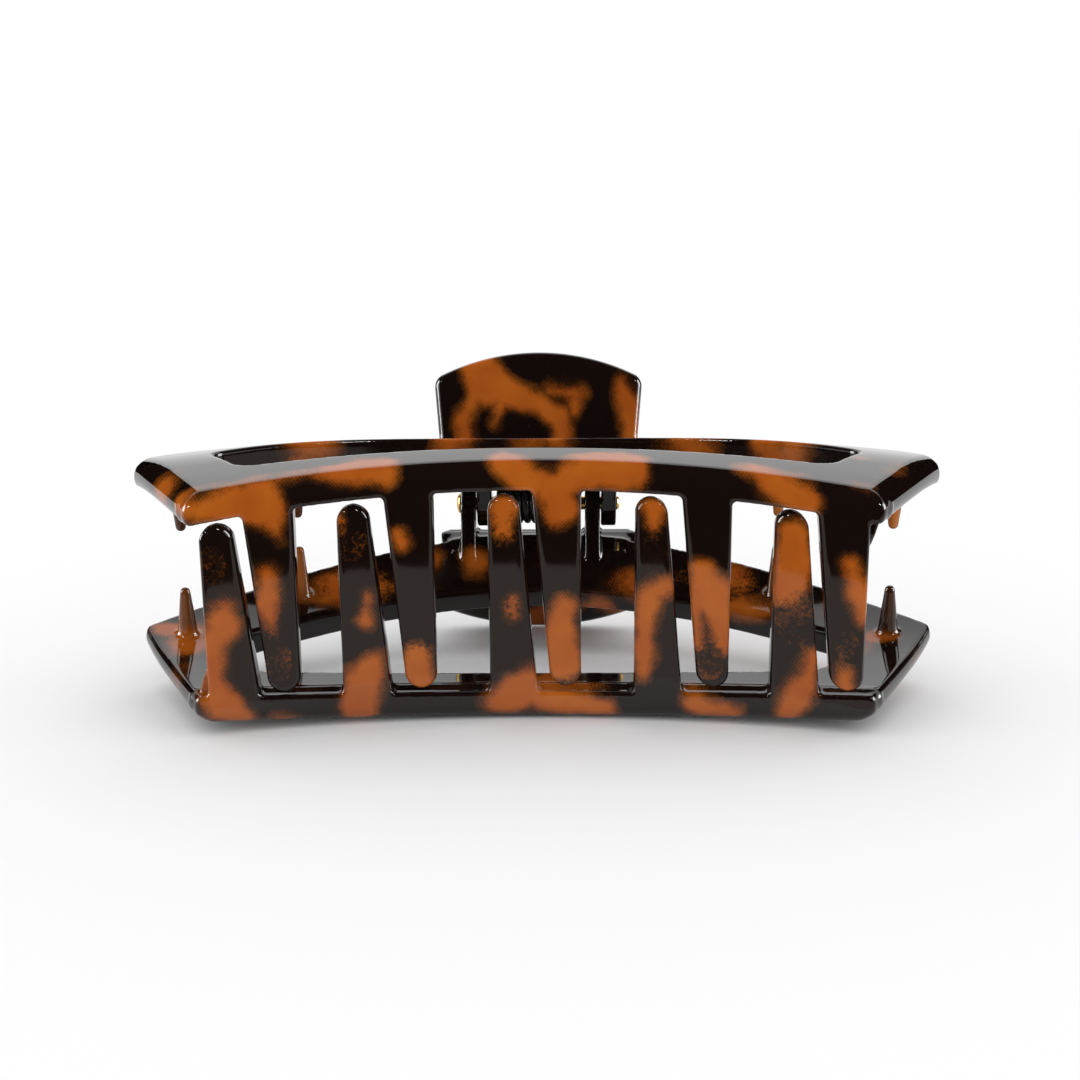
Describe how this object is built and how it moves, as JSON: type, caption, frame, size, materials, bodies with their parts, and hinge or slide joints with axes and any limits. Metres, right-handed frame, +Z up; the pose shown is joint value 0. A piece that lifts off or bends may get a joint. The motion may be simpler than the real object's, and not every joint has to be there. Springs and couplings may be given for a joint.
{
  "type": "claw clip",
  "caption": "Large hair claw clip: two equal bowed jaws with a window and long interleaved teeth, hinged on a pin with a coil spring and wide thumb tabs.",
  "frame": {"origin": "middle of the closed clip's footprint, on the table it lies on", "axes": "+X along the clip's long side, +Y from the toothed edge to the hinge and the thumb tabs, +Z up"},
  "size_m": [0.105, 0.0576, 0.0429],
  "materials": {
    "tortoiseshell": "polished, mottled dark brown and amber",
    "pin_brass": "polished",
    "spring_steel": "black oxide wire"
  },
  "bodies": {
    "lower_body": {"lower_jaw": "tortoiseshell", "hinge_pin": "pin_brass", "torsion_spring": "spring_steel"},
    "upper_body": {"upper_jaw": "tortoiseshell"}
  },
  "joints": [
    {"name": "hinge", "type": "hinge", "parent": "lower_body", "child": "upper_body", "pos_m": [0, 0.01931, 0.02097], "axis": [-1, 0, 0], "range_deg": [0, 75], "stiffness_Nm_per_rad": 0.12, "springref_deg": -51.57, "deforming": ["torsion_spring"]}
  ]
}
